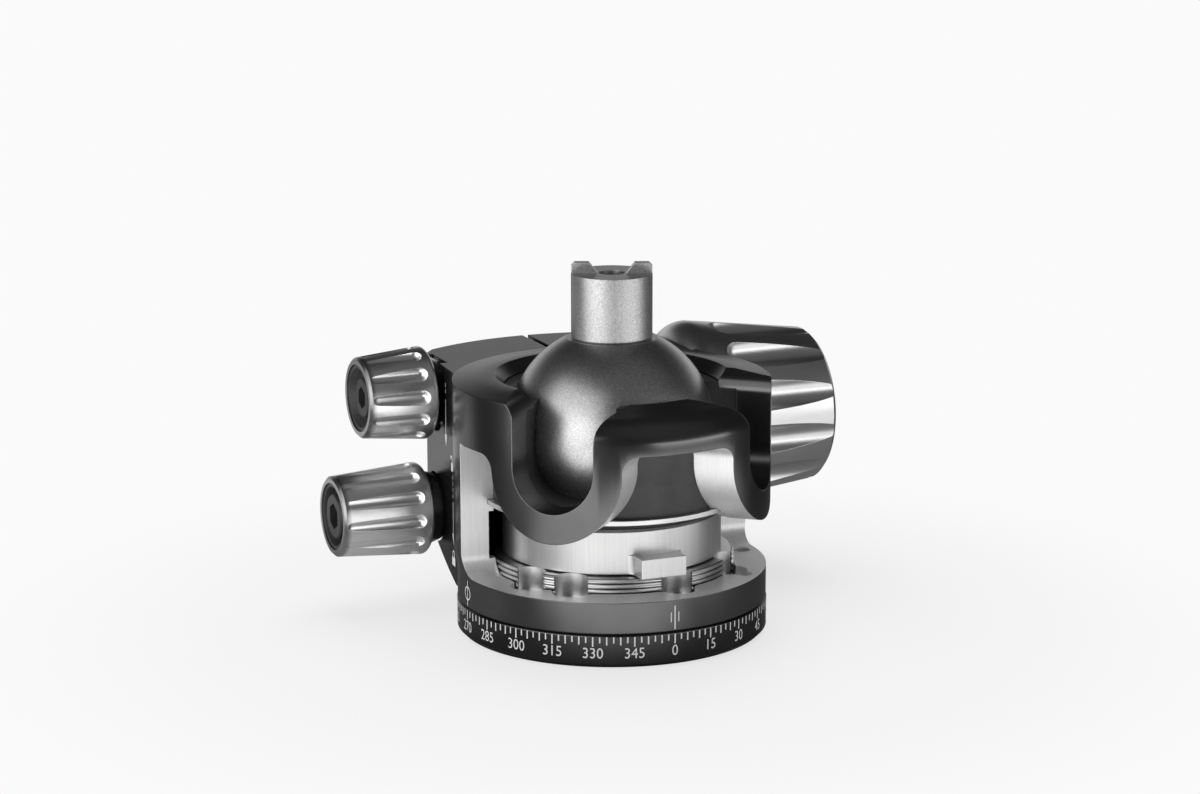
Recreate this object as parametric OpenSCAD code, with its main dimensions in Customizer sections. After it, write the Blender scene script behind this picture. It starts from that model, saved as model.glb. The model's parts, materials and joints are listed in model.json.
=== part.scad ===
// Low profile ball head: a split body clamps the ball, turns on a graduated pan base,
// and carries a clamp knob, a friction knob and a pan lock knob on a lug at its back.
// The origin is the centre of the tripod face, +Z is up and the front is towards -Y.
// Directions around the body are degrees from the front, counted towards +X.

/* [Ball and stem] */
// Diameter of the ball
ball_d = 40; // [39:0.2:41]
// Diameter of the stem
stem_d = 15.6; // [14.4:0.2:16]
// Length of the stem from its seat on the ball to its top face
stem_l = 12.5; // [10:0.5:16]
// Width of the flat on the ball round the stem's foot
stem_flat = 1; // [0.6:0.1:1.6]
// Diameter of the stem's spigot inside the ball
spigot_d = 10; // [9:0.5:12]
// Length of the stem's spigot inside the ball
spigot_l = 11; // [8:0.5:13]
// Core diameter of the tapped hole in the stem
stem_core_d = 5; // [4:0.1:5.2]
// Depth of the tapped hole in the stem
stem_core_l = 14; // [10:0.5:18]
// Height of the key lugs on the stem's top
key_h = 2.1; // [1:0.1:3]
// Thickness of the key lugs
key_t = 1.5; // [1:0.1:3]
// Length of the key lugs at their tops
key_l = 3.4; // [2.6:0.1:3.5]
// Chamfer of the key lugs' outer tops
key_chamfer = 0.7; // [0.2:0.1:1]
// Slope of the key lugs' inner faces, from foot to top
key_lean = 1.7; // [0:0.1:1.8]
// Direction of the key lugs around the stem
key_angle = -23.2; // [-90:0.1:90]

/* [Pan base] */
// Reach of the pan base past the body's skirt
base_reach = 0.1; // [0:0.05:0.5]
// Height of the pan base
base_h = 6.4; // [5.6:0.1:7]
// Chamfer round the tripod face
base_chamfer = 0.8; // [0.4:0.1:1.2]
// Core diameter of the tripod thread, 3/8 inch
tripod_core_d = 7.94; // [6.94:0.01:8.44]
// Wall of the tripod bush
bush_wall = 3.03; // [2.53:0.01:3.53]
// Length of the tripod bush
bush_l = 9.5; // [8:0.5:11]
// Reach of the tripod bush's flange
bush_reach = 1.2; // [0.8:0.1:1.6]
// Thickness of the tripod bush's flange
bush_flange_t = 1.5; // [1:0.1:2.5]
// Thickness of each glide washer of the pan bearing
glide_t = 0.25; // [0.2:0.05:0.35]
// Depth of the dark parting groove over the scale
parting_depth = 0.9; // [0.5:0.1:1.5]
// Distance from the tripod bush's flange to the middle of a spindle screw
spindle_screw_out = 3.8; // [3.4:0.1:4.4]
// Number of spindle screws
spindle_screw_count = 4; // [3:1:6]
// Diameter of a spindle screw
spindle_screw_d = 3; // [2.5:0.5:3.5]
// Head diameter of a spindle screw
spindle_head_d = 5.6; // [5:0.1:6]
// Length of a spindle screw
spindle_screw_l = 11; // [9:0.5:12]

/* [Pan bearing] */
// Wall of the spindle's neck outside the screws' middles
neck_wall = 4; // [3.4:0.1:4.6]
// Reach of the spindle's flange past its neck
flange_reach = 3.4; // [2.8:0.1:4]
// Wall of the cup in the spindle's flange
flange_wall = 3; // [2:0.2:3.4]
// Room between the ball and the spindle
ball_room = 0.7; // [0.4:0.1:1]
// Reach of the retaining ring's thread past the spindle's flange
ring_reach = 4.3; // [3.8:0.1:4.8]
// Pitch of the retaining ring's thread
ring_pitch = 1; // [0.8:0.1:1.5]
// Depth of the retaining ring's thread
ring_thread_depth = 0.5; // [0.3:0.05:0.6]
// Height of the retaining ring
ring_h = 7; // [6:0.5:8]
// Height of the retaining ring's foot above the body's underside
ring_foot = 1.75; // [1.25:0.05:2.5]
// Diameter of the spanner scallops
scallop_d = 6.8; // [5:0.2:8]
// Depth of the spanner scallops below the window sill
scallop_depth = 1.6; // [0.8:0.1:2.5]
// Wall of the brake ring
brake_wall = 1.72; // [1.42:0.01:2.02]
// Height of the brake ring
brake_h = 8.6; // [8:0.1:9.4]
// Width of the brake ring's key block
brake_key_w = 9.1; // [7:0.1:11]
// Height of the brake ring's key block
brake_key_h = 3.7; // [3:0.1:5]
// Reach of the brake ring's key block past the ring
brake_key_l = 3.8; // [3:0.1:4.6]
// Fillet between the key block's sides and the brake ring
brake_key_fillet = 1.8; // [0.5:0.1:2.4]
// Chamfer round the brake ring's top
brake_chamfer = 0.5; // [0.2:0.1:0.8]

/* [Cup and pads] */
// Height of the damper ring
damper_h = 1.9; // [1.5:0.1:2.4]
// Width of the damper ring
damper_w = 1.3; // [1:0.1:1.6]
// Thickness of the snap ring
snap_t = 0.9; // [0.7:0.1:1.2]
// Depth of the snap ring's groove
snap_groove = 1.3; // [1:0.1:1.7]
// Width of the snap ring
snap_w = 4.3; // [3.5:0.1:4.8]
// Gap between the snap ring's ends
snap_gap = 6; // [4:0.5:9]
// Wall of the lower cup beside the ball
cup_wall = 4; // [3.4:0.1:4.6]
// Depth of the lower cup below the ball's centre
cup_under = 12; // [11:0.1:12.6]
// Height of the lower cup's rim above the ball's centre
cup_over = 3; // [2:0.2:3.6]

/* [Body] */
// Wall of the body outside the cup
body_wall = 6.7; // [6.2:0.1:7.6]
// Setback of the skirt below the windows
skirt_back = 0.7; // [0.3:0.1:1.1]
// Room round the brake ring inside the body
brake_room = 3.8; // [3.2:0.1:4.2]
// Room over the brake ring, up to the step in the body's bore
step_room = 0.4; // [0.2:0.1:0.8]
// Height of the rim round the ball above the ball's centre
rim_over = 10.9; // [10.4:0.1:11.4]
// Depth of the shoulder over the pads below the rim
pad_drop = 3.5; // [3.3:0.1:4]
// Room between the ball and the lip over the pads
lip_room = 0.7; // [0.5:0.1:1.1]
// Depth of the lip's upper edge below the rim
lip_drop = 2; // [1.6:0.1:2.4]
// Width of the sloping face inside the rim
rim_slope = 1.9; // [1.5:0.1:2.3]
// Width of the flat top of the rim
rim_w = 1.6; // [1.2:0.1:2.2]
// Drop of the body's outer top edge below the rim
edge_drop = 0.9; // [0.5:0.05:1.2]
// Rounding of the front's upper edge, between the notches
front_round = 5.9; // [4.5:0.1:6.5]
// Depth of the centre of that rounding below the rim
front_drop = 8.6; // [8:0.1:9.2]
// Slope of the front's top, up to the lip
front_slope = 14; // [10:0.5:18]

/* [Notches and windows] */
// Direction of the left drop notch
notch_1 = -45; // [-48:0.5:-42]
// Direction of the right drop notch
notch_2 = 50; // [46:0.5:53]
// Room on each side of the stem in a notch
notch_room = 0.3; // [0.2:0.05:0.6]
// Height of the round end's centre of a notch below the ball's centre
notch_drop = 1.8; // [1:0.1:2.5]
// Rounding of the notches' upper edges
mouth_r = 4.4; // [2:0.1:5]
// Width of the band of wall left round a notch
band_w = 5.1; // [4:0.1:6]
// Drop of the band's centre below the notch's
band_drop = 0.6; // [0:0.1:1]
// Depth of the windows' sill below the retaining ring's top
sill_drop = 2.8; // [2.4:0.1:3.2]
// Height of the front and right windows' tops above the notches' centres
window_rise = 3.3; // [2:0.1:3.6]
// Drop of the left window's top below the others
left_window_drop = 2; // [1:0.1:2.6]
// Position of the left window's end wall behind the axis
window_left_y = 1.6; // [0:0.1:4]
// Position of the right window's end wall behind the axis
window_right_y = 3.7; // [0:0.1:5]
// Fillet between an end wall and the sill
sill_fillet = 4; // [2:0.5:6]
// Fillet in the upper corners of the windows
window_fillet = 3; // [1.5:0.1:3.2]
// Diameter of the lightening holes in the sill
sill_hole_d = 3.4; // [2:0.1:3.8]
// Depth of the lightening holes in the sill
sill_hole_depth = 3; // [1:0.5:4]

/* [Clamp lug] */
// Width of the lug across its seats for the knobs
lug_w = 46.8; // [46.4:0.1:48]
// Reach of the lug's back past the body
lug_reach = 14.2; // [13.6:0.1:15.4]
// Drop of the lug's top below the rim
lug_drop = 1; // [0.95:0.05:1.3]
// Height of the slope under the lug
lug_rise = 10; // [8:0.5:12]
// Chamfer at the lug's rear corners
lug_corner = 2.4; // [1:0.1:4]
// Reach of the lug's flanks past the knobs' seats, at the rear corners
flank_out = 1.4; // [1:0.1:1.8]
// Depth of the seats for the washers
seat_depth = 0.4; // [0.2:0.1:1]
// Width of the clamp slit
slit_w = 1.2; // [1:0.1:1.6]
// Diameter of the hole at the slit's lower end
slit_hole_d = 3; // [2:0.2:4]

/* [Knobs] */
// Distance of the knob axes inside the body's diameter
knob_in = 0.7; // [0:0.1:1.2]
// Number of flutes on each knob
flute_count = 12; // [8:1:12]
// Thickness of a knob's thrust washer
washer_t = 1; // [0.8:0.1:1.4]
// Depth of the main knob's axis below the ball's centre
main_drop = 6; // [5.6:0.1:6.6]
// Largest diameter of the main knob
main_d = 38; // [36:0.5:39]
// Taper of the main knob from its largest to its outer radius
main_taper = 3.2; // [2.6:0.1:3.6]
// Length of the main knob
main_l = 30.7; // [28:0.5:34]
// Rounding of the main knob's inner end
main_round = 5; // [3:0.5:6]
// Radius of the main knob's flutes
main_flute_r = 3.5; // [2.8:0.1:3.6]
// Angle at which the main knob rests
main_rest = -5.6; // [-15:0.1:15]
// Wall round the main knob's end recess
main_wall = 3; // [2.4:0.1:4]
// Depth of the main knob's end recess
main_recess_l = 5; // [4:0.5:8]
// Radius of the boss under the main knob
main_boss_r = 8; // [7:0.5:8.5]
// Height of the boss under the main knob
main_boss_l = 1.4; // [1:0.1:2]
// Diameter of the main screw
main_screw_d = 6; // [5:0.5:7]
// Width of the main screw's head past its shank
main_head_w = 2; // [1.5:0.1:2.5]
// Height of the friction knob's axis above the ball's centre
friction_rise = 3.4; // [3:0.1:3.8]
// Length of the friction knob
friction_l = 13.9; // [12:0.5:16]
// Angle at which the friction knob rests
friction_rest = -9; // [-15:0.1:15]
// Diameter of the friction screw
friction_screw_d = 5; // [4:0.5:6]
// Length of the neck of the friction knob's collar
friction_neck_l = 1.4; // [1.2:0.1:3]
// Length of the cone on the friction knob's collar
friction_cone_l = 2; // [1.4:0.2:3.6]
// Height of the pan knob's axis above the brake ring's foot
pan_rise = 3.4; // [3.2:0.1:4]
// Length of the pan knob
pan_l = 18.4; // [15:0.5:20]
// Angle at which the pan knob rests
pan_rest = 12.4; // [-15:0.1:15]
// Diameter of the pan screw
pan_screw_d = 6; // [5:0.5:6]
// Length of the neck of the pan knob's collar
pan_neck_l = 1.4; // [1.2:0.1:3]
// Length of the cone on the pan knob's collar
pan_cone_l = 3.2; // [2:0.2:4.4]
// Largest diameter of the small knobs
small_d = 18.4; // [17.6:0.2:19]
// Taper of the small knobs from their largest to their outer radius
small_taper = 1.2; // [0.9:0.1:1.5]
// Rounding of the small knobs' inner end
small_round = 1; // [0.6:0.1:1.4]
// Wall round the small knobs' end recess
small_wall = 1.35; // [1.05:0.05:1.75]
// Depth of the small knobs' end recess
small_recess_l = 3.6; // [3:0.2:5]
// Width of the small knobs' screw heads past their shanks
small_head_w = 1.5; // [1:0.1:1.8]
// Radius of the small knobs' flutes
small_flute_r = 1.6; // [1.2:0.1:1.8]
// Depth of the small knobs' flutes near their inner ends
small_flute_depth = 1.04; // [0.8:0.02:1.2]
// Step from the small knobs' inner faces in to their collars
collar_in = 0.6; // [0.4:0.1:1]
// Diameter of the neck of a small knob's collar
collar_neck_d = 12.4; // [11.4:0.2:12.8]

/* [Hidden] */
$fn = 64;
// Clearance of fixed pieces that are slipped together
slip = 0.05;
// Clearance of pieces that turn or slide in each other
run_fit = 0.08;
// Overlap of cutting shapes past the faces that they cut
over = 1;
// Reach of cutting shapes that pass right through
far = 80;
// Small chamfers on knob ends, screws and the stem's foot
edge = 0.3;
small_edge = 0.5;
main_edge = 0.8;
// Drop of hidden rims below the faces round them
rim_drop = 0.4;
// Setback of the cup and the pads round the notches
liner_back = 0.3;
// Setback of the damper ring from the brake ring's side
damper_back = 0.2;
// Room round the ball in the cup's upper half
mouth_room = 0.2;
// Break of the notches' rounded edges at the rim
mouth_break = 0.2;
// Reach of the front's rounding past the wall, and depth of its crease to the sloping top
front_out = 0.15;
front_crease = 0.05;
// Room round a knob, and round a collar, where the body is cut away for it
knob_room = 0.8;
collar_room = 0.3;
// Depth of the flutes at the knobs' outer ends
main_flute_cut = 0.28;
small_flute_cut = 0.28;
// Plain lengths of the knobs before their flutes
main_flute_start = 2.8;
small_flute_start = 0.95;
// Plain length of the small knobs past their flutes
small_flute_stop = 0.05;
// Lip, step and floor of the dished inserts in the knobs
insert_lip = 0.7;
insert_step = 0.9;
insert_floor = 0.45;
// Step from a collar's neck to its cone
collar_step = 0.4;
// Chamfer and end room of the clamp screws in their blind bores
tip_chamfer = 0.6;
tip_room = 1.5;
// Wall of the lug behind the clamp screws' blind bores
blind_wall = 5.4;
// Width of the flat on the pan screw's tip
pan_tip_flat = 0.4;
// Gap between the pan screw's tip and the shoe
shoe_room = 0.15;
// Reach of the lug's foot past the skirt
foot_reach = 0.6;
// Reach of the slit below the snap ring
slit_under = 0.2;

// Diameters, from the tripod thread outwards
bush_d = tripod_core_d + 2 * bush_wall;
bush_flange_d = bush_d + 2 * bush_reach;
spindle_pcd = bush_flange_d + 2 * spindle_screw_out;
neck_d = spindle_pcd + 2 * neck_wall;
flange_d = neck_d + 2 * flange_reach;
ring_thread_d = flange_d + 2 * ring_reach;
brake_d = flange_d + 2 * run_fit + 2 * brake_wall;
brake_key_r = brake_d / 2 + brake_key_l;
brake_bore_d = brake_d + 2 * brake_room;

// Diameters, from the ball outwards
ball_r = ball_d / 2;
bore_d = ball_d + 2 * cup_wall;
cup_r = bore_d / 2 - slip;
snap_d = bore_d + 2 * snap_groove;
snap_bore_d = snap_d - 2 * snap_w;
lip_d = ball_d + 2 * lip_room;
rim_bore_d = lip_d + 2 * rim_slope;
rim_d = rim_bore_d + 2 * rim_w;
body_d = bore_d + 2 * body_wall;
body_r = body_d / 2;
skirt_r = body_r - skirt_back;
base_r = skirt_r + base_reach;
lug_r = body_r + lug_reach;

// Heights, from the tripod face upwards
body_z = base_h + glide_t;
ring_top = body_z + ring_foot + ring_h;
sill_z = ring_top - sill_drop;
flange_z = ring_top + glide_t;
brake_z = flange_z + slip;
brake_top = brake_z + brake_h;
bore_step_z = brake_top + step_room;
spindle_top = brake_top - rim_drop;
snap_z = brake_top + damper_h;
slit_z = snap_z - slit_under;
cup_z = snap_z + snap_t;
ball_z = cup_z + cup_under;
cup_top = ball_z + cup_over;
web_z = ball_z - ball_r - ball_room;
rim_z = ball_z + rim_over;
pad_top = rim_z - pad_drop;
lip_z = rim_z - lip_drop;
edge_z = rim_z - edge_drop;
front_z = rim_z - front_drop;
lug_top = rim_z - lug_drop;

stem_r = stem_d / 2;
stem_seat_d = stem_d + 2 * stem_flat;
key_gap = stem_d - 2 * key_l;
seat_z = ball_z + sqrt(pow(ball_r, 2) - pow(stem_seat_d / 2, 2));
stem_top = seat_z + stem_l;

front_centre = [body_r + front_out - front_round, front_z];
front_touch = front_centre + (front_round - front_crease) * [sin(front_slope), cos(front_slope)];
front_top = front_touch[1] + (front_touch[0] - lip_d / 2) * tan(front_slope);

notch_r = stem_r + notch_room;
notch_z = ball_z - notch_drop;
liner_notch_r = notch_r + liner_back;
band_r = notch_r + band_w;
band_z = notch_z - band_drop;
notches = [notch_1, notch_2];
window_top = notch_z + window_rise;
left_window_top = window_top - left_window_drop;

sill_scallop_angles = [-65, -42.5, 9, 51];
scallop_angles = [for (a = sill_scallop_angles, turn = [0, 180]) a + turn];
scallop_z = sill_z - scallop_depth;
sill_hole_angles = [47, 85];
sill_hole_r = (ring_thread_d / 2 + skirt_r) / 2;

// Knobs: distances from the middle plane along their axes
knob_y = body_r - knob_in;
main_z = ball_z - main_drop;
friction_z = ball_z + friction_rise;
pan_z = brake_z + pan_rise;
seat_x = lug_w / 2 - seat_depth;
washer_x = seat_x + washer_t;
main_x = washer_x + main_boss_l;
friction_collar_l = friction_neck_l + friction_cone_l;
pan_collar_l = pan_neck_l + pan_cone_l;
friction_x = washer_x + friction_collar_l;
pan_x = washer_x + pan_collar_l;
blind_x = lug_w / 2 - blind_wall;
main_end_d = main_d - 2 * main_taper;
main_recess_d = main_end_d - 2 * main_wall;
main_head_d = main_screw_d + 2 * main_head_w;
small_end_d = small_d - 2 * small_taper;
small_recess_d = small_end_d - 2 * small_wall;
friction_head_d = friction_screw_d + 2 * small_head_w;
pan_head_d = pan_screw_d + 2 * small_head_w;
collar_r = small_d / 2 - small_round - collar_in;
shoe_d = pan_screw_d;
pan_tip_x = shoe_d / 4;
pan_cone = (pan_screw_d - pan_tip_flat) / 2;

// Ring of rectangular section about Z
module ring(inner_r, outer_r, z, h) {
    rotate_extrude()
        translate([inner_r, z])
            square([outer_r - inner_r, h]);
}

// Flat outline, width by height, pushed outwards in one direction around the body
module outwards(angle) {
    rotate([0, 0, angle])
        rotate([90, 0, 0])
            linear_extrude(far)
                children();
}

// Outline of a slot with a half-round lower end at the origin
module u_outline(r, h) {
    intersection() {
        circle(r);
        translate([-r, -r])
            square([2 * r, r]);
    }
    translate([-r, 0])
        square([2 * r, h]);
}

// Frame of a knob on the left or the right of the lug: local Z points outwards along the axis
module on_left(z) {
    translate([0, knob_y, z])
        rotate([0, -90, 0])
            children();
}

module on_right(z) {
    translate([0, knob_y, z])
        rotate([0, 90, 0])
            children();
}

// Pan base and what is fixed to it
module spindle_screw_places() {
    for (i = [0 : spindle_screw_count - 1])
        rotate([0, 0, (i + 0.5) * 360 / spindle_screw_count])
            translate([spindle_pcd / 2, 0, 0])
                children();
}

module countersunk(d, head_d, l) {
    rotate_extrude()
        polygon([[0, 0], [head_d / 2, 0], [d / 2, (head_d - d) / 2], [d / 2, l], [0, l]]);
}

module pan_base() {
    r = base_r;
    c = base_chamfer;
    color([0.08, 0.08, 0.085])
        difference() {
            rotate_extrude()
                polygon([[0, 0], [r - c, 0], [r, c], [r, base_h - edge], [r - edge, base_h], [0, base_h]]);
            translate([0, 0, -over])
                cylinder(d = bush_d + 2 * slip, h = base_h + 2 * over);
            translate([0, 0, -over])
                cylinder(d = bush_flange_d + 2 * slip, h = bush_flange_t + over);
            spindle_screw_places()
                countersunk(spindle_screw_d + 2 * slip, spindle_head_d + 2 * slip, base_h + over);
        }
}

module tripod_bush() {
    color([0.55, 0.55, 0.56])
        rotate_extrude()
            polygon([[tripod_core_d / 2, 0], [bush_flange_d / 2, 0], [bush_flange_d / 2, bush_flange_t],
                [bush_d / 2, bush_flange_t], [bush_d / 2, bush_l], [tripod_core_d / 2, bush_l]]);
}

module pan_spindle() {
    bush_r = bush_d / 2 + slip;
    bush_top = bush_l + slip;
    cup_in = flange_d / 2 - flange_wall;
    color([0.7, 0.7, 0.71])
        difference() {
            rotate_extrude()
                polygon([[bush_r, base_h], [neck_d / 2, base_h], [neck_d / 2, flange_z],
                    [flange_d / 2, flange_z], [flange_d / 2, spindle_top], [cup_in, spindle_top],
                    [cup_in, web_z], [0, web_z], [0, bush_top], [bush_r, bush_top]]);
            spindle_screw_places()
                translate([0, 0, base_h - over])
                    cylinder(d = spindle_screw_d + 2 * slip, h = spindle_screw_l + slip - base_h + over);
        }
}

module spindle_screws() {
    socket_w = spindle_screw_d * 0.55;
    color([0.25, 0.25, 0.26])
        spindle_screw_places()
            difference() {
                countersunk(spindle_screw_d, spindle_head_d, spindle_screw_l);
                translate([0, 0, -over])
                    cylinder(d = socket_w, h = spindle_screw_d / 2 + over, $fn = 6);
            }
}

module pan_bearing() {
    color([0.05, 0.05, 0.05])
        ring(neck_d / 2 + run_fit, skirt_r - parting_depth, base_h, glide_t);
}

module glide_ring() {
    color([0.85, 0.83, 0.75])
        ring(neck_d / 2 + run_fit, flange_d / 2 - slip, ring_top, glide_t);
}

// Rings inside the body, under the ball
module scallop_cut(angles, z) {
    for (a = angles)
        rotate([0, 0, a])
            translate([0, -ring_thread_d / 2, z])
                cylinder(d = scallop_d, h = far);
}

module retaining_ring() {
    crest_r = ring_thread_d / 2;
    root_r = crest_r - ring_thread_depth;
    turns = floor(ring_h / ring_pitch);
    low = ring_top - turns * ring_pitch;
    tooth = [[root_r, 0], [crest_r, 0.5]];
    flank = [for (i = [0 : turns - 1], p = tooth) [p[0], low + (i + p[1]) * ring_pitch]];
    bore_r = neck_d / 2 + run_fit;
    color([0.72, 0.72, 0.73])
        difference() {
            rotate_extrude()
                polygon(concat([[bore_r, low]], flank, [[root_r, ring_top], [bore_r, ring_top]]));
            scallop_cut(scallop_angles, scallop_z);
        }
}

// Outline of the key block from above, with a fillet on each side
module key_outline() {
    f = brake_key_fillet;
    side_x = brake_key_w / 2 + f;
    side_y = sqrt(pow(brake_d / 2, 2) - pow(side_x, 2)) + f;
    translate([-brake_key_w / 2, -brake_key_r])
        square([brake_key_w, brake_key_r]);
    difference() {
        translate([-side_x, -side_y])
            square([2 * side_x, side_y]);
        for (x = [-side_x, side_x])
            translate([x, -side_y])
                circle(f);
    }
}

module brake_ring() {
    r = brake_d / 2;
    c = brake_chamfer;
    color([0.76, 0.75, 0.74])
        difference() {
            union() {
                rotate_extrude()
                    polygon([[0, brake_z], [r, brake_z], [r, brake_top - c], [r - c, brake_top],
                        [0, brake_top]]);
                translate([0, 0, brake_z])
                    linear_extrude(brake_key_h)
                        key_outline();
            }
            translate([0, 0, brake_z - over])
                cylinder(r = flange_d / 2 + run_fit, h = brake_h + 2 * over);
        }
}

module damper_ring() {
    outer_r = brake_d / 2 - brake_chamfer - damper_back;
    color([0.03, 0.03, 0.03])
        ring(outer_r - damper_w, outer_r, brake_top, damper_h);
}

module snap_ring() {
    color([0.8, 0.8, 0.81])
        difference() {
            ring(snap_bore_d / 2, snap_d / 2, snap_z, snap_t);
            translate([-snap_gap / 2, 0, snap_z - over])
                cube([snap_gap, far, snap_t + 2 * over]);
        }
}

// Cup and pads round the ball
module liner_notches() {
    for (a = notches)
        outwards(a)
            translate([0, notch_z])
                u_outline(liner_notch_r, far);
}

module ball_space() {
    translate([0, 0, ball_z])
        sphere(ball_r + run_fit);
}

module lower_cup() {
    color([0.1, 0.1, 0.105])
        difference() {
            translate([0, 0, cup_z])
                cylinder(r = cup_r, h = cup_top - cup_z);
            ball_space();
            translate([0, 0, ball_z - over])
                cylinder(r = ball_r + mouth_room, h = far);
            liner_notches();
        }
}

module upper_pads() {
    neck_r = lip_d / 2 - slip;
    neck_top = lip_z - rim_drop;
    color([0.09, 0.09, 0.095])
        difference() {
            rotate_extrude()
                polygon([[0, cup_top], [cup_r, cup_top], [cup_r, pad_top], [neck_r, pad_top],
                    [neck_r, neck_top], [0, neck_top]]);
            ball_space();
            liner_notches();
        }
}

// Body
module body_form() {
    rotate_extrude()
        polygon([[0, body_z], [skirt_r, body_z], [skirt_r, sill_z], [body_r, sill_z + sill_fillet],
            [body_r, edge_z], [rim_d / 2, rim_z], [0, rim_z]]);
}

module lug_form() {
    half = lug_w / 2;
    foot_r = skirt_r + foot_reach;
    back_y = sqrt(pow(lug_r, 2) - pow(half, 2));
    root_y = body_r / 2;
    root_x = sqrt(pow(body_r, 2) - pow(root_y, 2));
    left = [[0, 0], [-root_x, 0], [-root_x, root_y], [-half - flank_out, back_y - lug_corner],
        [lug_corner - half, back_y + lug_corner], [0, far]];
    intersection() {
        rotate_extrude()
            polygon([[0, body_z], [foot_r, body_z], [lug_r, body_z + lug_rise], [lug_r, lug_top],
                [0, lug_top]]);
        for (side = [0, 1])
            mirror([side, 0, 0])
                linear_extrude(far)
                    polygon(left);
    }
}

// Front sector between the middles of the notches
module front_sector() {
    linear_extrude(far)
        polygon([[0, 0], far * [sin(notch_1), -cos(notch_1)], [0, -2 * far],
            far * [sin(notch_2), -cos(notch_2)]]);
}

// What is cut away above the rounded front
module front_cut() {
    top = rim_z + over;
    intersection() {
        rotate_extrude()
            difference() {
                translate([0, front_z])
                    square([body_r + over, top - front_z]);
                translate(front_centre)
                    circle(front_round);
                polygon([[-over, front_z - over], [front_centre[0], front_z - over], front_touch,
                    [-over, front_touch[1] + (front_touch[0] + over) * tan(front_slope)]]);
            }
        front_sector();
    }
}

module body_bore() {
    thread_r = ring_thread_d / 2 + slip;
    brake_r = brake_bore_d / 2;
    bore_r = bore_d / 2;
    lip_r = lip_d / 2;
    rim_r = rim_bore_d / 2;
    rise = (rim_z + over - lip_z) / (rim_z - lip_z);
    top_r = lip_r + (rim_r - lip_r) * rise;
    rotate_extrude()
        polygon([[0, body_z - over], [thread_r, body_z - over], [thread_r, ring_top],
            [brake_r, ring_top], [brake_r, bore_step_z], [bore_r, bore_step_z], [bore_r, pad_top],
            [lip_r, pad_top], [lip_r, lip_z], [top_r, rim_z + over], [0, rim_z + over]]);
    ring(0, snap_d / 2 + slip, snap_z - slip, snap_t + 2 * slip);
}

// Outline of a drop notch, with its upper edges rounded outwards up to the tops beside it
module notch_outline(left_top, right_top) {
    u_outline(notch_r, far);
    notch_mouth(right_top);
    mirror([1, 0])
        notch_mouth(left_top);
}

module notch_mouth(top) {
    centre = top - notch_z - mouth_r + mouth_break;
    difference() {
        translate([notch_r - over, centre])
            square([mouth_r + over, far]);
        translate([notch_r + mouth_r, centre])
            circle(mouth_r);
    }
}

module notch_cuts() {
    outwards(notch_1)
        translate([0, notch_z])
            notch_outline(rim_z, front_top);
    outwards(notch_2)
        translate([0, notch_z])
            notch_outline(front_top, rim_z);
}

// Wall that stays round a notch: a U, with fillets up to the window tops on its left and right
module band(angle, left_top, right_top) {
    outwards(angle)
        translate([0, band_z]) {
            u_outline(band_r, far);
            band_fillet(1, right_top - band_z);
            band_fillet(-1, left_top - band_z);
        }
}

module band_fillet(side, top) {
    f = window_fillet;
    mirror([side < 0 ? 1 : 0, 0])
        difference() {
            translate([band_r - over, top - f])
                square([f + over, f + over]);
            translate([band_r + f, top - f])
                circle(f);
        }
}

// Space milled out from the side, from the sill to a top edge, with a fillet at its end wall
module window_space(x_from, x_to, end_y, top) {
    f = sill_fillet;
    translate([x_from, 0, 0])
        rotate([90, 0, 90])
            linear_extrude(x_to - x_from)
                difference() {
                    translate([-far, sill_z])
                        square([far + end_y, top - sill_z]);
                    difference() {
                        translate([end_y - f, sill_z])
                            square([f + over, f]);
                        translate([end_y - f, sill_z + f])
                            circle(f);
                    }
                }
}

module windows() {
    split_x = (bore_d / 2) * sin(notch_1 - asin(band_r / (bore_d / 2)));
    difference() {
        union() {
            window_space(split_x + over, 0, window_left_y, window_top);
            window_space(-far, 0, window_left_y, left_window_top);
            window_space(-over, far, window_right_y, window_top);
        }
        band(notch_1, left_window_top, window_top);
        band(notch_2, window_top, window_top);
    }
}

module slit() {
    translate([-slit_w / 2, 0, slit_z])
        cube([slit_w, far, far]);
    translate([0, 0, slit_z])
        rotate([-90, 0, 0])
            cylinder(d = slit_hole_d, h = far);
}

module screw_bores() {
    on_right(main_z) {
        translate([0, 0, -blind_x])
            cylinder(d = main_screw_d + 2 * run_fit, h = far);
        translate([0, 0, seat_x])
            cylinder(r = main_boss_r + knob_room, h = far);
        translate([0, 0, main_x - knob_room / 2])
            cylinder(r = main_d / 2 + knob_room, h = far);
    }
    on_left(friction_z) {
        translate([0, 0, -blind_x])
            cylinder(d = friction_screw_d + 2 * run_fit, h = far);
        translate([0, 0, seat_x])
            cylinder(d = collar_neck_d, h = far);
        translate([0, 0, washer_x])
            cylinder(r = collar_r + collar_room, h = far);
    }
    on_left(pan_z) {
        translate([0, 0, -pan_tip_x - over])
            cylinder(d = pan_screw_d + 2 * run_fit, h = far);
        translate([0, 0, seat_x])
            cylinder(d = collar_neck_d + 2 * knob_room, h = far);
    }
    translate([0, 0, pan_z])
        rotate([-90, 0, 0])
            cylinder(d = shoe_d + 2 * run_fit, h = knob_y + over);
}

module sill_holes() {
    for (a = sill_hole_angles)
        rotate([0, 0, a])
            translate([0, -sill_hole_r, sill_z - sill_hole_depth])
                cylinder(d = sill_hole_d, h = sill_hole_depth + over);
}

module sill_pockets() {
    intersection() {
        scallop_cut(sill_scallop_angles, scallop_z);
        ring(0, far, 0, sill_z + slip);
    }
}

module housing() {
    color([0.1, 0.1, 0.105])
        difference() {
            union() {
                body_form();
                lug_form();
            }
            front_cut();
            body_bore();
            notch_cuts();
            windows();
            slit();
            screw_bores();
            sill_holes();
            sill_pockets();
        }
}

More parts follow.
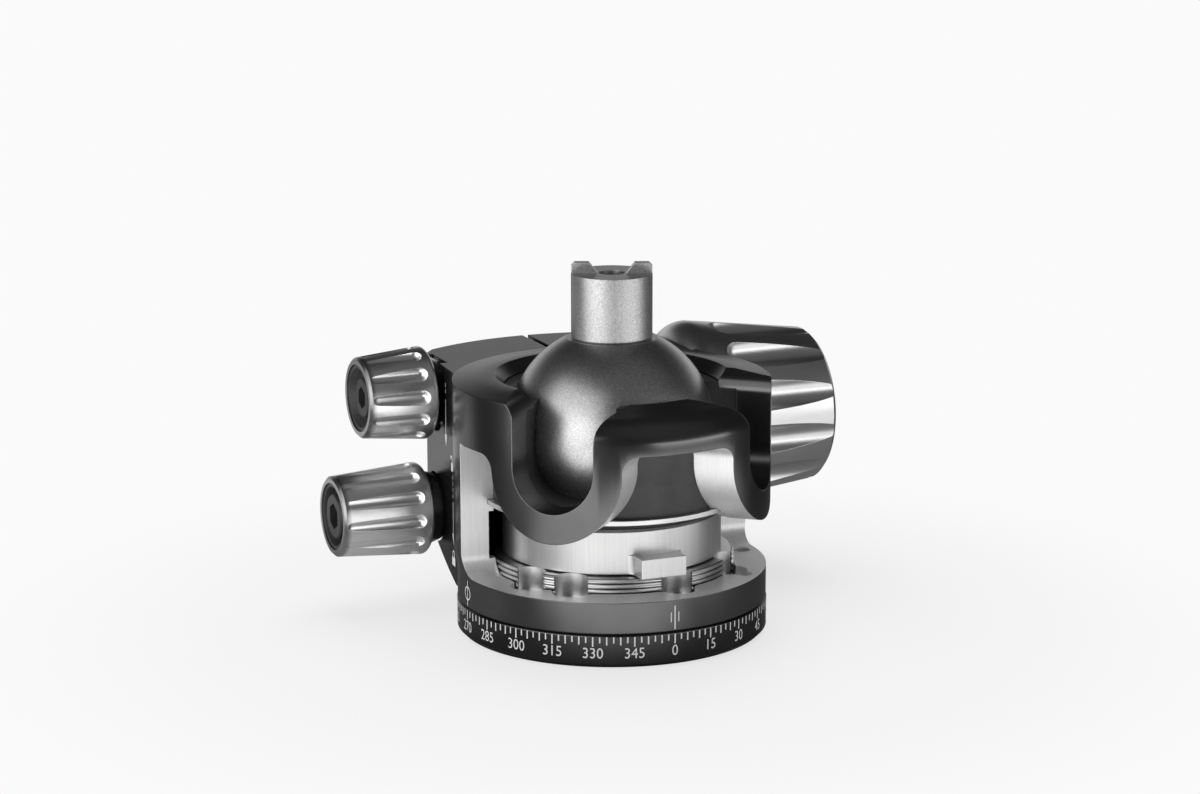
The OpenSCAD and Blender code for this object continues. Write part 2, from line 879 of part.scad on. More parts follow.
// Ball and stem
module ball() {
    color([0.2, 0.195, 0.19])
        difference() {
            translate([0, 0, ball_z])
                sphere(ball_r);
            translate([0, 0, seat_z])
                cylinder(r = ball_r, h = ball_r);
            translate([0, 0, seat_z - spigot_l - slip])
                cylinder(d = spigot_d + 2 * run_fit, h = spigot_l + ball_r);
        }
}

module stem_key(side) {
    inner = key_gap / 2;
    reach = stem_r + over;
    rotate([0, 0, key_angle])
        mirror([side, 0, 0])
            rotate([90, 0, 0])
                translate([0, 0, -key_t / 2])
                    linear_extrude(key_t)
                        polygon([[inner - key_lean, -slip], [reach, -slip],
                            [reach, key_h - key_chamfer - over], [stem_r - key_chamfer, key_h],
                            [inner, key_h]]);
}

module stem() {
    spigot_r = spigot_d / 2;
    color([0.75, 0.75, 0.76])
        difference() {
            union() {
                rotate_extrude()
                    polygon([[0, seat_z - spigot_l], [spigot_r, seat_z - spigot_l], [spigot_r, seat_z],
                        [stem_r - edge, seat_z], [stem_r, seat_z + edge], [stem_r, stem_top],
                        [0, stem_top]]);
                translate([0, 0, stem_top])
                    intersection() {
                        union() {
                            stem_key(0);
                            stem_key(1);
                        }
                        translate([0, 0, -over])
                            cylinder(r = stem_r - slip, h = key_h + 2 * over);
                    }
            }
            translate([0, 0, stem_top - stem_core_l])
                cylinder(d = stem_core_d, h = stem_core_l + key_h + over);
        }
}

// Knobs: local Z runs outwards from the knob's inner face
// Cutter of a flute, round at both ends, between the middles of its ends
module flute(r, l) {
    rotate_extrude() {
        square([r, l]);
        intersection() {
            circle(r);
            translate([0, -r])
                square([r, r]);
        }
        translate([0, l])
            intersection() {
                circle(r);
                square([r, r]);
            }
    }
}

module knob_form(d, end_d, l, round_r, end_edge) {
    r = d / 2;
    end_r = end_d / 2;
    rotate_extrude() {
        square([r - round_r, round_r]);
        translate([r - round_r, round_r])
            intersection() {
                circle(round_r);
                translate([0, -round_r])
                    square([round_r, round_r]);
            }
        polygon([[0, round_r], [r, round_r], [end_r, l - end_edge], [end_r - end_edge, l], [0, l]]);
    }
}

// Flutes whose middles lean in from one radius and height to another
module knob_flutes(flute_r, inner_r, inner_z, outer_r, outer_z) {
    in_by = inner_r - outer_r;
    up_by = outer_z - inner_z;
    for (i = [0 : flute_count - 1])
        rotate([0, 0, (i + 0.5) * 360 / flute_count])
            translate([inner_r, 0, inner_z])
                rotate([0, -atan2(in_by, up_by), 0])
                    flute(flute_r, norm([in_by, up_by]));
}

module knob_recess(l, recess_d, depth, bore_d) {
    translate([0, 0, l - depth])
        cylinder(d = recess_d, h = depth + over);
    translate([0, 0, -far / 2])
        cylinder(d = bore_d, h = far);
}

// Dished dark insert in a knob's end, round the screw's head
module dished_insert(l, recess_d, depth, head_d) {
    outer_r = recess_d / 2 - slip;
    inner_r = head_d / 2 + slip;
    seat = l - depth;
    dish = seat + depth * insert_floor;
    rotate_extrude()
        polygon([[inner_r, seat], [outer_r, seat], [outer_r, l - edge], [outer_r - insert_lip, l - edge],
            [inner_r + insert_step, dish], [inner_r, dish]]);
}

// Socket head screw through a knob: the head's seat is at a height, the tip at another
module knob_screw(d, head_d, seat, tip, tip_cone) {
    r = d / 2;
    head_r = head_d / 2;
    head_h = d * 0.55;
    top = seat + head_h;
    socket_w = d * 0.9;
    socket_l = head_h * 0.65;
    difference() {
        rotate_extrude()
            polygon([[0, tip], [r - tip_cone, tip], [r, tip + tip_cone], [r, seat], [head_r, seat],
                [head_r, top - edge], [head_r - edge, top], [0, top]]);
        translate([0, 0, top - socket_l])
            cylinder(d = socket_w, h = socket_l + over, $fn = 6);
    }
}

module washer(outer_d, screw_d) {
    difference() {
        translate([0, 0, seat_x])
            cylinder(d = outer_d, h = washer_t);
        translate([0, 0, seat_x - over])
            cylinder(d = screw_d + 2 * run_fit, h = washer_t + 2 * over);
    }
}

module main_knob() {
    flute_x = main_end_d / 2 + main_flute_r - main_flute_cut;
    flute_start = main_round + main_flute_start + main_flute_r;
    color([0.36, 0.35, 0.34])
        on_right(main_z)
            translate([0, 0, main_x])
                rotate([0, 0, main_rest])
                    difference() {
                        union() {
                            knob_form(main_d, main_end_d, main_l, main_round, main_edge);
                            translate([0, 0, -main_boss_l])
                                cylinder(r = main_boss_r, h = main_boss_l + over);
                        }
                        knob_recess(main_l, main_recess_d, main_recess_l, main_screw_d + 2 * slip);
                        knob_flutes(main_flute_r, flute_x, flute_start, flute_x, main_l + main_flute_r);
                    }
}

module main_insert() {
    color([0.03, 0.03, 0.03])
        on_right(main_z)
            translate([0, 0, main_x])
                dished_insert(main_l, main_recess_d, main_recess_l, main_head_d);
}

module main_screw() {
    color([0.5, 0.5, 0.5])
        on_right(main_z)
            knob_screw(main_screw_d, main_head_d, main_x + main_l - main_recess_l,
                tip_room - blind_x, tip_chamfer);
}

module main_washer() {
    color([0.75, 0.72, 0.6])
        on_right(main_z)
            washer(2 * main_boss_r, main_screw_d);
}

// Parts that the two small knobs share
module small_knob(l, screw_d) {
    inner_half = sqrt(small_flute_depth * (2 * small_flute_r - small_flute_depth));
    outer_half = sqrt(small_flute_cut * (2 * small_flute_r - small_flute_cut));
    inner_z = small_round + small_flute_start + inner_half;
    outer_z = l - small_edge - small_flute_stop - outer_half;
    slope = small_taper / (l - small_edge - small_round);
    inner_r = small_d / 2 - (inner_z - small_round) * slope - small_flute_depth + small_flute_r;
    outer_r = small_d / 2 - (outer_z - small_round) * slope - small_flute_cut + small_flute_r;
    difference() {
        knob_form(small_d, small_end_d, l, small_round, small_edge);
        knob_recess(l, small_recess_d, small_recess_l, screw_d + 2 * slip);
        knob_flutes(small_flute_r, inner_r, inner_z, outer_r, outer_z);
    }
}

module small_collar(l, cone_l, screw_d) {
    neck_r = collar_neck_d / 2;
    bore_r = screw_d / 2 + slip;
    end = washer_x + l;
    rotate_extrude()
        polygon([[bore_r, washer_x], [neck_r, washer_x], [neck_r, end - cone_l],
            [neck_r + collar_step, end - cone_l], [collar_r, end], [bore_r, end]]);
}

module friction_knob() {
    color([0.42, 0.41, 0.4])
        on_left(friction_z)
            translate([0, 0, friction_x])
                rotate([0, 0, friction_rest])
                    small_knob(friction_l, friction_screw_d);
}

module friction_insert() {
    color([0.03, 0.03, 0.03])
        on_left(friction_z)
            translate([0, 0, friction_x])
                dished_insert(friction_l, small_recess_d, small_recess_l, friction_head_d);
}

module friction_collar() {
    color([0.04, 0.04, 0.04])
        on_left(friction_z)
            small_collar(friction_collar_l, friction_cone_l, friction_screw_d);
}

module friction_screw() {
    color([0.3, 0.3, 0.3])
        on_left(friction_z)
            knob_screw(friction_screw_d, friction_head_d, friction_x + friction_l - small_recess_l,
                tip_room - blind_x, tip_chamfer);
}

module friction_washer() {
    color([0.75, 0.72, 0.6])
        on_left(friction_z)
            washer(collar_neck_d - 2 * run_fit, friction_screw_d);
}

module pan_knob() {
    color([0.42, 0.41, 0.4])
        on_left(pan_z)
            translate([0, 0, pan_x])
                rotate([0, 0, pan_rest])
                    small_knob(pan_l, pan_screw_d);
}

module pan_insert() {
    color([0.03, 0.03, 0.03])
        on_left(pan_z)
            translate([0, 0, pan_x])
                dished_insert(pan_l, small_recess_d, small_recess_l, pan_head_d);
}

module pan_collar() {
    color([0.04, 0.04, 0.04])
        on_left(pan_z)
            small_collar(pan_collar_l, pan_cone_l, pan_screw_d);
}

module pan_screw() {
    color([0.3, 0.3, 0.3])
        on_left(pan_z)
            knob_screw(pan_screw_d, pan_head_d, pan_x + pan_l - small_recess_l, -pan_tip_x, pan_cone);
}

module pan_washer() {
    color([0.75, 0.72, 0.6])
        on_left(pan_z)
            washer(collar_neck_d, pan_screw_d);
}

// Brass shoe: hollowed to the brake ring, and cut to the slope of the pan screw's tip
module pan_shoe() {
    color([0.75, 0.6, 0.3])
        difference() {
            translate([0, 0, pan_z])
                rotate([-90, 0, 0])
                    cylinder(d = shoe_d, h = knob_y);
            cylinder(r = brake_d / 2 + run_fit, h = far);
            translate([pan_tip_x, knob_y - pan_tip_flat / 2, pan_z])
                rotate([0, 0, 45])
                    translate([-far, -shoe_room, -far / 2])
                        cube([2 * far, far, far]);
        }
}

pan_base();
tripod_bush();
pan_spindle();
spindle_screws();
pan_bearing();
glide_ring();
housing();
retaining_ring();
brake_ring();
damper_ring();
snap_ring();
lower_cup();
upper_pads();
ball();
stem();
main_knob();
main_insert();
main_screw();
main_washer();
friction_knob();
friction_insert();
friction_collar();
friction_screw();
friction_washer();
pan_knob();
pan_insert();
pan_collar();
pan_screw();
pan_washer();
pan_shoe();
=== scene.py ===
import json
import math

import bmesh
import bpy
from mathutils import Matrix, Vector


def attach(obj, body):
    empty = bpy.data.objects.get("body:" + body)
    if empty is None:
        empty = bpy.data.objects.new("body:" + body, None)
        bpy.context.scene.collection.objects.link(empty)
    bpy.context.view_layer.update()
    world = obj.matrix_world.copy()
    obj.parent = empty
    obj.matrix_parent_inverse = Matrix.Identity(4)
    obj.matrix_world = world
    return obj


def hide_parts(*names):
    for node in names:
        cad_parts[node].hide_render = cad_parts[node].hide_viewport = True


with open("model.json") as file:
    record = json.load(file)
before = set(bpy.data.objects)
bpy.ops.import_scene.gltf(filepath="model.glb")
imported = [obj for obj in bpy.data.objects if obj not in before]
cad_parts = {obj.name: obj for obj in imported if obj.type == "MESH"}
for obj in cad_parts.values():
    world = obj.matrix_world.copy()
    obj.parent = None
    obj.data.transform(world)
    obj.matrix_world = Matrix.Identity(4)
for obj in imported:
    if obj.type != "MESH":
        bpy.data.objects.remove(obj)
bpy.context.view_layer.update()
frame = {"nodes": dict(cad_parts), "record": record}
nodes = frame["nodes"]

# Lengths are in millimetres, apart from those of the floor, the panels and the camera, in metres
MM = 0.001
MM_IN_METRE = 1000


def left_end(node):
    """The least X of a solid."""
    return min(corner[0] for corner in nodes[node].bound_box) / MM


def right_end(node):
    """The greatest X of a solid, which is the radius of a round one."""
    return max(corner[0] for corner in nodes[node].bound_box) / MM


# Nodes in a tree

def feed(tree, socket, value):
    """Link a socket to another node's output, or set it to a plain value."""
    if isinstance(value, bpy.types.NodeSocket):
        tree.links.new(value, socket)
    else:
        socket.default_value = value


def feed_all(tree, node, inputs):
    """Feed a node's inputs, which are given by name or by place."""
    for key, value in inputs.items():
        feed(tree, node.inputs[key], value)


def added(tree, kind, inputs=None, **settings):
    """A new node with its settings made and its inputs fed."""
    node = tree.nodes.new(kind)
    for name, value in settings.items():
        setattr(node, name, value)
    feed_all(tree, node, inputs or {})
    return node


def calculated(tree, operation, *values):
    """Number worked out from one or two numbers."""
    node = added(tree, "ShaderNodeMath", dict(enumerate(values)), operation=operation)
    return node.outputs["Value"]


def measured(tree, operation, *vectors):
    """Number worked out from one or two vectors."""
    node = added(tree, "ShaderNodeVectorMath", dict(enumerate(vectors)), operation=operation)
    return node.outputs["Value"]


def mapped(tree, value, start=0.0, end=1.0, low=0.0, high=1.0, curve="LINEAR"):
    """Value carried from the range start to end over to the range low to high, and held beyond it."""
    limits = {"From Min": start, "From Max": end, "To Min": low, "To Max": high}
    node = added(tree, "ShaderNodeMapRange", {"Value": value, **limits}, interpolation_type=curve)
    return node.outputs["Result"]


def along(tree, where, axis):
    """One coordinate of a vector."""
    return added(tree, "ShaderNodeSeparateXYZ", {"Vector": where}).outputs[axis]


def vector_of(tree, x=0.0, y=0.0, z=0.0):
    """Vector from three numbers."""
    return added(tree, "ShaderNodeCombineXYZ", {"X": x, "Y": y, "Z": z}).outputs["Vector"]


def scaled(tree, where, scale):
    """Coordinates times a scale for each axis."""
    return added(tree, "ShaderNodeMapping", {"Vector": where, "Scale": scale}).outputs["Vector"]


def off_axis(tree, where):
    """Distance from the pan axis."""
    return measured(tree, "LENGTH", vector_of(tree, along(tree, where, "X"), along(tree, where, "Y")))


def speckle(tree, where, scale, detail=2, roughness=0.5):
    """Noise with about as many grains to a millimetre as the scale says."""
    inputs = {"Vector": where, "Scale": scale, "Detail": detail, "Roughness": roughness}
    return added(tree, "ShaderNodeTexNoise", inputs).outputs["Fac"]


def colour(tone):
    """Colour with full cover, from a grey level or from red, green and blue."""
    return (*tone, 1) if isinstance(tone, tuple) else (tone, tone, tone, 1)


def shades(tree, value, stops):
    """Colour ramp over a value: stops are pairs of a position and a tone."""
    node = added(tree, "ShaderNodeValToRGB", {"Fac": value})
    elements = node.color_ramp.elements
    while len(elements) < len(stops):
        elements.new(0.5)
    for element, (position, tone) in zip(elements, stops):
        element.position = position
        element.color = colour(tone)
    return node.outputs["Color"]


def mottled(tree, noise, dark, light, low=0.3, high=0.7):
    """Tone that goes from dark to light between two values of a noise."""
    return shades(tree, noise, ((low, dark), (high, light)))


def spread(tree, noise, middle, below, above):
    """Value that a noise carries from a little below a middle to a little above it."""
    return mapped(tree, noise, low=middle - below, high=middle + above)


def blended(tree, share, first, tone):
    """A colour mixed with a plain tone, by a share of that tone from 0 to 1."""
    node = added(tree, "ShaderNodeMix", {0: share, 6: first, 7: colour(tone)}, data_type="RGBA")
    return node.outputs[2]


def faded(tree, where, middle, near, far, inside, outside):
    """Value that goes from inside to outside with the distance from a point."""
    distance = measured(tree, "DISTANCE", where, middle)
    return mapped(tree, distance, near, far, inside, outside, curve="SMOOTHSTEP")


# Finishes

# Cosines between a face and its rounded normal, where an edge's tone, partly wear and partly a painted
# highlight, starts and where it is full
EDGE_START = 0.995
EDGE_FULL = 0.86
BEVEL_SAMPLES = 6
# Painted shade on the small knobs' rims at their left ends: where it is full, where it has faded out, its
# tone
RIM_SHADE_FULL = 0.5
RIM_SHADE_FADED = 1.5
RIM_SHADE_TONE = 0.3
# The retaining ring's thread, and its tones from two depths inside the crest (0) to the crest (1): painted
# shade in the grooves and a painted highlight on the crests
RING_CREST_R = right_end("retaining_ring")
RING_THREAD_DEPTH = 0.5
THREAD_SHADE_AND_HIGHLIGHT_TONES = ((0.4, 0.66), (0.48, 0.08), (0.56, 0.12), (0.74, 0.95))
# Cut marks to a millimetre along X, Y and Z, and on turned metal outwards, round and along the axis
MILLED_MARKS = (2.2, 2.2, 0.12)
BRAKE_MARKS = (2.6, 2.6, 0.05)
TURNED_MARKS = (2.7, 0, 9)
# Blotches on cut metal, in red, green and blue as shares of its lightest tone, and its edges' tone, partly
# wear and partly a painted highlight
BLOTCH_SHARES = (0.8, 0.79, 0.78)
CUT_EDGE_WEAR_AND_HIGHLIGHT_TONE = 0.9


def new_finish(name):
    """A material with its tree, its shader and object coordinates in millimetres."""
    made = bpy.data.materials.new(name)
    made.use_nodes = True
    tree = made.node_tree
    coords = added(tree, "ShaderNodeTexCoord").outputs["Object"]
    where = scaled(tree, coords, (MM_IN_METRE, MM_IN_METRE, MM_IN_METRE))
    return made, tree, tree.nodes["Principled BSDF"], where


def softened_edges(tree, radius):
    """Normal that rounds the edges, and a share that is 1 on them."""
    rounded = added(tree, "ShaderNodeBevel", {"Radius": radius * MM}, samples=BEVEL_SAMPLES)
    face = added(tree, "ShaderNodeNewGeometry")
    cosine = measured(tree, "DOT_PRODUCT", rounded.outputs["Normal"], face.outputs["Normal"])
    return rounded.outputs["Normal"], mapped(tree, cosine, EDGE_START, EDGE_FULL)


def roughened(tree, shader, height, depth, strength, normal=None):
    """Fine bump on the shader, over another normal if one is given."""
    bump = added(tree, "ShaderNodeBump", {"Height": height, "Distance": depth * MM, "Strength": strength})
    if normal is not None:
        feed(tree, bump.inputs["Normal"], normal)
    feed(tree, shader.inputs["Normal"], bump.outputs["Normal"])


def anodised(name, dark, light, rough, metallic, grain_scale=7.0, grain_depth=0.006, edge_wear_and_highlight_tone=0.24,
             edge_radius=0.28, glancing=1.0, rim_shade_end=None):
    """Anodised or blackened metal: fine grain, faint clouds, edges lighter partly from wear and partly
    from a painted highlight, perhaps painted shade on the rim at the left end.
    """
    made, tree, shader, where = new_finish(name)
    cloud = speckle(tree, where, scale=0.09, detail=3)
    grain = speckle(tree, where, grain_scale, roughness=0.6)
    normal, edge = softened_edges(tree, edge_radius)
    # Edges take a tone that is partly wear and partly a painted highlight
    tone = blended(tree, edge, mottled(tree, cloud, dark, light), edge_wear_and_highlight_tone)
    # Painted shade on the rim at the left end: full near the end, fading out further in
    if rim_shade_end is not None:
        rim_shade = mapped(tree, along(tree, where, "X"), rim_shade_end + RIM_SHADE_FADED, rim_shade_end + RIM_SHADE_FULL)
        tone = blended(tree, rim_shade, tone, RIM_SHADE_TONE)
    feed_all(tree, shader, {
        "Base Color": tone, "Roughness": spread(tree, grain, rough, below=0.05, above=0.07),
        "Metallic": metallic, "Specular Tint": colour(glancing)})
    roughened(tree, shader, grain, grain_depth, strength=0.5, normal=normal)
    return made


def blasted(name, dark, light, rough, edge_wear_and_highlight_tone, grain_scale=6.0, grain_depth=0.012):
    """Bead-blasted bare metal: a glitter of small dents."""
    made, tree, shader, where = new_finish(name)
    grain = speckle(tree, where, grain_scale, detail=3, roughness=0.65)
    cloud = mapped(tree, speckle(tree, where, scale=0.12), high=0.35)
    tone = blended(tree, cloud, mottled(tree, grain, dark, light), light)
    normal, edge = softened_edges(tree, radius=0.2)
    feed_all(tree, shader, {
        # Edges take a tone that is partly wear and partly a painted highlight
        "Base Color": blended(tree, edge, tone, edge_wear_and_highlight_tone), "Metallic": 1.0,
        "Roughness": spread(tree, grain, rough, below=0.08, above=0.1)})
    roughened(tree, shader, grain, grain_depth, strength=0.6, normal=normal)
    return made


def threaded(name, crest_r, depth, rough):
    """Bare cut thread round the pan axis: a painted highlight on the crests, painted shade in the grooves,
    and plain metal further in.
    """
    made, tree, shader, where = new_finish(name)
    # Painted shade in the grooves and a painted highlight on the crests, by the distance from the axis
    outwards = mapped(tree, off_axis(tree, where), crest_r - 2 * depth, crest_r)
    grain = speckle(tree, where, scale=9.0, roughness=0.6)
    feed_all(tree, shader, {
        "Base Color": shades(tree, outwards, THREAD_SHADE_AND_HIGHLIGHT_TONES), "Metallic": 1.0,
        "Roughness": spread(tree, grain, rough, below=0.05, above=0.07)})
    roughened(tree, shader, grain, depth=0.0005, strength=0.5)
    return made


def machined(name, dark, light, rough, marks, turned=False, metallic=1.0):
    """Bare cut metal: its marks follow X, Y and Z or, on turned metal, run round the pan axis."""
    made, tree, shader, where = new_finish(name)
    place = vector_of(tree, off_axis(tree, where), z=along(tree, where, "Z")) if turned else where
    lines = speckle(tree, scaled(tree, place, marks), scale=1.0, detail=3, roughness=0.7)
    blotch = mapped(tree, speckle(tree, where, scale=0.18, detail=3), high=0.3)
    tone = mottled(tree, lines, dark, light, low=0.25, high=0.75)
    tone = blended(tree, blotch, tone, tuple(light * share for share in BLOTCH_SHARES))
    normal, edge = softened_edges(tree, radius=0.15)
    feed_all(tree, shader, {
        # Edges take a tone that is partly wear and partly a painted highlight
        "Base Color": blended(tree, edge, tone, CUT_EDGE_WEAR_AND_HIGHLIGHT_TONE), "Metallic": metallic,
        "Roughness": spread(tree, lines, rough, below=0.07, above=0.1)})
    roughened(tree, shader, lines, depth=0.004, strength=0.45, normal=normal)
    return made


def moulded(name, dark, light, rough, coat=0.0):
    """Moulded polymer or rubber: soft mottling and a fine skin."""
    made, tree, shader, where = new_finish(name)
    skin = speckle(tree, where, scale=4.0, detail=3, roughness=0.6)
    cloud = speckle(tree, where, scale=0.25)
    normal, _ = softened_edges(tree, radius=0.2)
    feed_all(tree, shader, {
        "Base Color": mottled(tree, cloud, dark, light), "Coat Weight": coat,
        "Roughness": spread(tree, skin, rough, below=0.06, above=0.06)})
    roughened(tree, shader, skin, depth=0.004, strength=0.4, normal=normal)
    return made


def printed(name, dark, light):
    """Printing ink, a little worn."""
    made, tree, shader, where = new_finish(name)
    wear = speckle(tree, where, scale=3.0, detail=3)
    feed_all(tree, shader, {
        "Base Color": mottled(tree, wear, dark, light),
        "Roughness": mapped(tree, wear, low=0.5, high=0.65)})
    return made


BLACK_SKIN = {"metallic": 0.93, "glancing": 0.6}
TITANIUM = {"metallic": 1.0, "grain_scale": 9.0, "grain_depth": 0.002}


def small_knob_finish(node):
    """Titanium painted paler than the main knob's to stand in for the brighter light on the small knobs,
    with painted shade on the rim at the left end.
    """
    return anodised(node + "_titanium_satin", 0.87, 0.94, 0.31, edge_wear_and_highlight_tone=0.95, edge_radius=0.1,
                    rim_shade_end=left_end(node), **TITANIUM)


# Each finish has a name, a dark and a light tone, and a roughness
body_black = anodised("body_black_anodised", 0.1, 0.125, 0.22, **BLACK_SKIN)
base_black = anodised("base_black_anodised", 0.05, 0.065, 0.22, edge_wear_and_highlight_tone=0.2, **BLACK_SKIN)
ball_finish = blasted("ball_blasted_gunmetal", 0.26, 0.66, 0.35, edge_wear_and_highlight_tone=0.5, grain_scale=3.6)
stem_finish = blasted("stem_blasted_silver", 0.27, 0.67, 0.4, edge_wear_and_highlight_tone=0.65, grain_scale=3.6,
                      grain_depth=0.016)
knob_finish = anodised("knob_titanium_satin", 0.6, 0.68, 0.31, edge_wear_and_highlight_tone=0.75, edge_radius=0.12,
                       **TITANIUM)
friction_finish = small_knob_finish("friction_knob")
pan_finish = small_knob_finish("pan_knob")
cut_bare = machined("window_cut_bare", 0.7, 0.86, 0.38, MILLED_MARKS, metallic=0.55)
brake_bare = machined("brake_ring_bare", 0.5, 0.65, 0.36, BRAKE_MARKS)
turned_bare = machined("turned_ring_bare", 0.5, 0.7, 0.32, TURNED_MARKS, turned=True)
thread_bare = threaded("threaded_ring_bare", RING_CREST_R, RING_THREAD_DEPTH, 0.3)
steel_plain = machined("snap_steel", 0.45, 0.68, 0.28, TURNED_MARKS, turned=True)
steel_dark = anodised("screw_blackened_steel", 0.03, 0.045, 0.46, metallic=0.2, grain_scale=6.0,
                      grain_depth=0.004, edge_wear_and_highlight_tone=0.06, edge_radius=0.15)
brass_turned = blasted("thrust_brass", (0.55, 0.4, 0.17), (0.72, 0.54, 0.26), 0.34, edge_wear_and_highlight_tone=0.7)
liner_black = moulded("liner_black_polymer", 0.02, 0.035, 0.42)
insert_black = moulded("insert_black_polymer", 0.038, 0.05, 0.5)
collar_gloss = moulded("collar_gloss_black", 0.008, 0.014, 0.22, coat=0.4)
damper_rubber = moulded("damper_rubber", 0.01, 0.018, 0.6)
print_white = printed("scale_print_white", 0.72, 0.86)

FINISHES = {
    "pan_base": base_black, "tripod_bush": steel_plain, "pan_spindle": turned_bare,
    "spindle_screws": steel_dark, "pan_bearing": liner_black, "glide_ring": liner_black,
    "housing": body_black, "retaining_ring": thread_bare, "brake_ring": brake_bare,
    "damper_ring": damper_rubber, "snap_ring": steel_plain, "lower_cup": liner_black,
    "upper_pads": liner_black, "ball": ball_finish, "stem": stem_finish,
    "main_knob": knob_finish, "main_insert": insert_black, "main_screw": steel_dark,
    "main_washer": brass_turned, "friction_knob": friction_finish, "friction_insert": insert_black,
    "friction_collar": collar_gloss, "friction_screw": steel_dark, "friction_washer": brass_turned,
    "pan_knob": pan_finish, "pan_insert": insert_black, "pan_collar": collar_gloss,
    "pan_screw": steel_dark, "pan_washer": brass_turned, "pan_shoe": brass_turned,
}


# Dressed solids

# Joining of the solids' triangles, in metres, and the least angle of an edge that stays sharp
MERGE_DISTANCE = 2e-6
LEAST_EDGE = 1e-7
SHARP_ANGLE = math.radians(16)
# The milled windows' faces: reach of the wall, and of the sill's leaning foot below the fillet's top
WALL_INNER_R = 24.1
WALL_OUTER_R = 30.62
SILL_OUTER_R = 29.9
SILL_LEAN = 0.17
SILL_Z = 12.6
FILLET_TOP_Z = 16.7
# Their heights and their back end
WINDOW_LOW_Z = 9.0
WINDOW_TOP_Z = 40.65
WINDOW_BACK_Y = 3.72
# The black bands that follow the drop notches, which the windows leave standing
NOTCH_ANGLES = (-45.0, 50.0)
BAND_CENTRE_Z = 36.7
BAND_R = 10.6


def body_of_node(name):
    """The body that a solid belongs to."""
    for body, members in frame["record"]["behaviour"]["bodies"].items():
        if name in members:
            return body


def finished(piece, body):
    """A piece that rides on a body."""
    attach(piece, body)
    return piece


def new_piece(name, data):
    """An object in the scene."""
    piece = bpy.data.objects.new(name, data)
    bpy.context.scene.collection.objects.link(piece)
    return piece


def smooth_copy(node):
    """The solid's own shape, with its triangles joined and shaded smooth, in place of the solid."""
    mesh = nodes[node].data.copy()
    work = bmesh.new()
    work.from_mesh(mesh)
    bmesh.ops.remove_doubles(work, verts=work.verts, dist=MERGE_DISTANCE)
    bmesh.ops.dissolve_degenerate(work, edges=work.edges, dist=LEAST_EDGE)
    work.to_mesh(mesh)
    work.free()
    if mesh.has_custom_normals:
        mesh.attributes.remove(mesh.attributes["custom_normal"])
    mesh.shade_smooth()
    mesh.set_sharp_from_angle(angle=SHARP_ANGLE)
    mesh.materials.clear()
    mesh.materials.append(FINISHES[node])
    piece = new_piece(node + "_dressed", mesh)
    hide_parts(node)
    return finished(piece, body_of_node(node))


def off_notch(point, angle):
    """Distance of a point from a notch's middle line: straight above the bands' centre, round below it."""
    turn = math.radians(angle)
    across = point.x * math.cos(turn) + point.y * math.sin(turn)
    outwards = point.x * math.sin(turn) - point.y * math.cos(turn)
    if outwards < 0:
        return math.inf
    drop = point.z - BAND_CENTRE_Z
    return abs(across) if drop > 0 else math.hypot(across, drop)


def in_window(point):
    """Whether a point of the housing lies on a milled window's face."""
    if point.z > FILLET_TOP_Z:
        outer_r = WALL_OUTER_R
    else:
        outer_r = SILL_OUTER_R + max(0, point.z - SILL_Z) * SILL_LEAN
    in_wall = WALL_INNER_R < math.hypot(point.x, point.y) < outer_r
    in_height = WINDOW_LOW_Z < point.z < WINDOW_TOP_Z
    in_front = point.y < WINDOW_BACK_Y
    off_bands = all(off_notch(point, angle) > BAND_R for angle in NOTCH_ANGLES)
    return in_wall and in_height and in_front and off_bands


def bare_the_windows(housing):
    """The milled windows cut through the anodised skin, so their faces are bare metal."""
    mesh = housing.data
    mesh.materials.append(cut_bare)
    for face in mesh.polygons:
        if in_window(face.center * MM_IN_METRE):
            face.material_index = 1


pieces = {node: smooth_copy(node) for node in FINISHES}
bare_the_windows(pieces["housing"])


# Printed marks

PRINT_RISE = 0.03
BASE_R = right_end("pan_base")
BASE_PAST_SKIRT = 0.1
SKIRT_R = BASE_R - BASE_PAST_SKIRT
# Ticks of the degree scale, with steps in degrees
TICK_STEP = 2.5
MIDDLE_EVERY = 2
LONG_EVERY = 6
TICK_TOP_Z = 6.06
TICK_WIDTH = 0.26
SHORT_TICK = 1.15
MIDDLE_TICK = 1.55
LONG_TICK = 1.86
# Numbers of the degree scale, with a digit's height as a share of the font's size
NUMERAL_STEP = 15
NUMERAL_HEIGHT = 2.0
NUMERAL_FOOT_Z = 1.95
DIGIT_SHARE = 0.69
DIGIT_NARROWING = 0.92
DIGIT_SPACING = 1.02
DIGIT_CURVE_STEPS = 4
# The left flank's sloping plane: a point on it, and its lean to the right for each millimetre back
FLANK_X = -26.587
FLANK_Y = 15.35
FLANK_LEAN = 0.08687
# Arrows on the flank
DASH = 0.8
DASH_STEP = 1.25
DASH_WIDTH = 0.26
SHAFT_WIDTH = 0.34
HEAD_WIDTH = 1.5
# Padlock signs on the flank: the block, and the shackle with its place when it is open
LOCK_Y = 16.9
LOCK_WIDTH = 2.2
LOCK_HEIGHT = 1.7
SHACKLE_OUTER_R = 0.75
SHACKLE_INNER_R = 0.42
SHACKLE_LIFT = 0.7
SHACKLE_SHIFT = 0.9
SHACKLE_GAP = 0.45


def node_tree(name, inputs):
    """A geometry tree with numbers as its inputs, and its first and last nodes."""
    tree = bpy.data.node_groups.new(name, "GeometryNodeTree")
    for label in inputs:
        tree.interface.new_socket(name=label, in_out="INPUT", socket_type="NodeSocketFloat")
    tree.interface.new_socket(name="Marks", in_out="OUTPUT", socket_type="NodeSocketGeometry")
    return tree, tree.nodes.new("NodeGroupInput"), tree.nodes.new("NodeGroupOutput")


